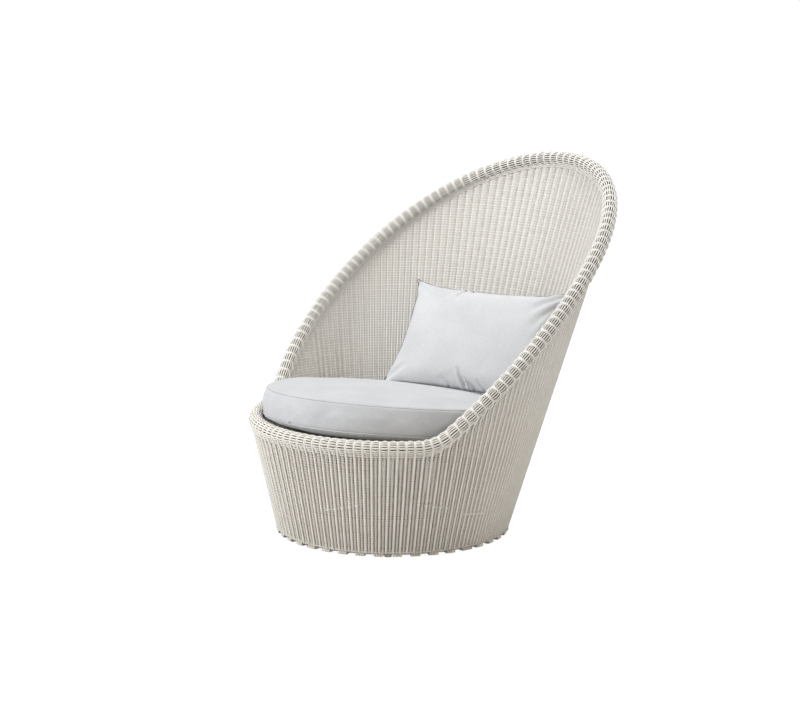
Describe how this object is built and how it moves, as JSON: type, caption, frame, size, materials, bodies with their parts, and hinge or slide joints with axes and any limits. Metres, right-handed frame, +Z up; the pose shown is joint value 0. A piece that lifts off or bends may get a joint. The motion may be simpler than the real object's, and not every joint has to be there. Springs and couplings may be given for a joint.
{
  "type": "outdoor lounge chair",
  "caption": "Round woven tub chair with a tall sloping woven hood, a thick wrapped rim, a round seat cushion and a loose back pillow.",
  "frame": {"origin": "middle of the chair's length and width, on the floor", "axes": "+Z up, +Y towards the back of the hood, -Y towards the front where the sitter's feet go, +X to the left of a person sitting in it"},
  "size_m": [1.1658, 1.2622, 1.1999],
  "materials": {
    "frame_metal": "matt powder coat in the colour of the cane",
    "cane": "extruded synthetic cane, warm pale grey, satin",
    "glide_nylon": "matt",
    "cushion_fabric": "plain woven outdoor cloth, light cool grey",
    "foam": "open-cell foam"
  },
  "bodies": {
    "chair_frame": {"floor_ring": "frame_metal", "middle_ring": "frame_metal", "seat_ring": "frame_metal", "seat_bar_front": "frame_metal", "seat_bar_middle": "frame_metal", "seat_bar_back": "frame_metal", "post_1": "frame_metal", "post_2": "frame_metal", "post_3": "frame_metal", "post_4": "frame_metal", "post_5": "frame_metal", "post_6": "frame_metal", "post_7": "frame_metal", "post_8": "frame_metal", "rim_tube": "frame_metal", "rim_arms": "frame_metal", "rim_roll": "cane", "wall_weave": "cane", "wall_stakes": "cane", "seat_deck": "cane", "floor_wraps": "cane", "glides": "glide_nylon"},
    "seat_cushion": {"seat_cushion_cover": "cushion_fabric", "seat_cushion_foam": "foam"},
    "back_pillow": {"back_pillow": "cushion_fabric"}
  },
  "joints": [
    {"name": "cushion_lift", "type": "slide", "parent": "chair_frame", "child": "seat_cushion", "axis": [0, 0, 1], "range_m": [0, 0.95]},
    {"name": "pillow_lift", "type": "slide", "parent": "seat_cushion", "child": "back_pillow", "axis": [0, 0, 1], "range_m": [0, 0.8]}
  ]
}
